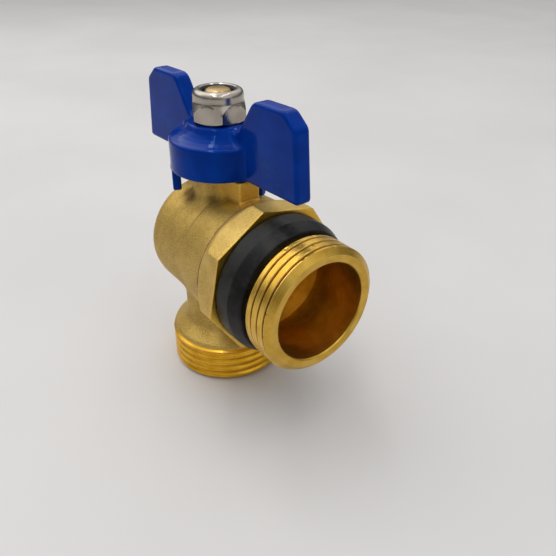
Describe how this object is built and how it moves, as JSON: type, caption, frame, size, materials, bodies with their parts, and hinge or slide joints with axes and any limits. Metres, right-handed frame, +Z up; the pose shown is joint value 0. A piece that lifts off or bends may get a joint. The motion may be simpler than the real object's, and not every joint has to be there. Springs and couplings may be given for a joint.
{
  "type": "angle ball valve",
  "caption": "Right-angled brass ball valve for a manifold: male threads on both ports, octagonal flange, rubber manifold seal and a blue butterfly handle.",
  "frame": {"origin": "centre of the outlet's end face, on the stem's axis", "axes": "+Z up the stem's axis, out of the handle's end; +X out of the side port"},
  "size_m": [0.0762, 0.0404, 0.0817],
  "materials": {
    "forged_brass": "shot-blasted matte",
    "machined_brass": "turned, satin",
    "stem_brass": "turned",
    "ball_chrome": "polished",
    "seat_ptfe": "white PTFE",
    "seal_rubber": "satin moulded",
    "blue_enamel": "gloss coated",
    "plated_steel": "nickel-plated",
    "insert_nylon": "nylon"
  },
  "bodies": {
    "valve": {"valve_body": "forged_brass", "end_connector": "machined_brass", "manifold_seal": "seal_rubber", "seat_ring_front": "seat_ptfe", "seat_ring_rear": "seat_ptfe", "thrust_washer": "seat_ptfe", "packing_ring_lower": "seat_ptfe", "packing_ring_upper": "seat_ptfe", "packing_nut": "stem_brass"},
    "rotor": {"stem": "stem_brass", "ball": "ball_chrome", "stem_o_ring": "seal_rubber", "handle": "blue_enamel", "lock_nut": "plated_steel", "lock_nut_insert": "insert_nylon"}
  },
  "joints": [
    {"name": "handle_turn", "type": "hinge", "parent": "valve", "child": "rotor", "pos_m": [0, 0, 0.03763], "axis": [0, 0, 1], "range_deg": [0, 90]}
  ]
}
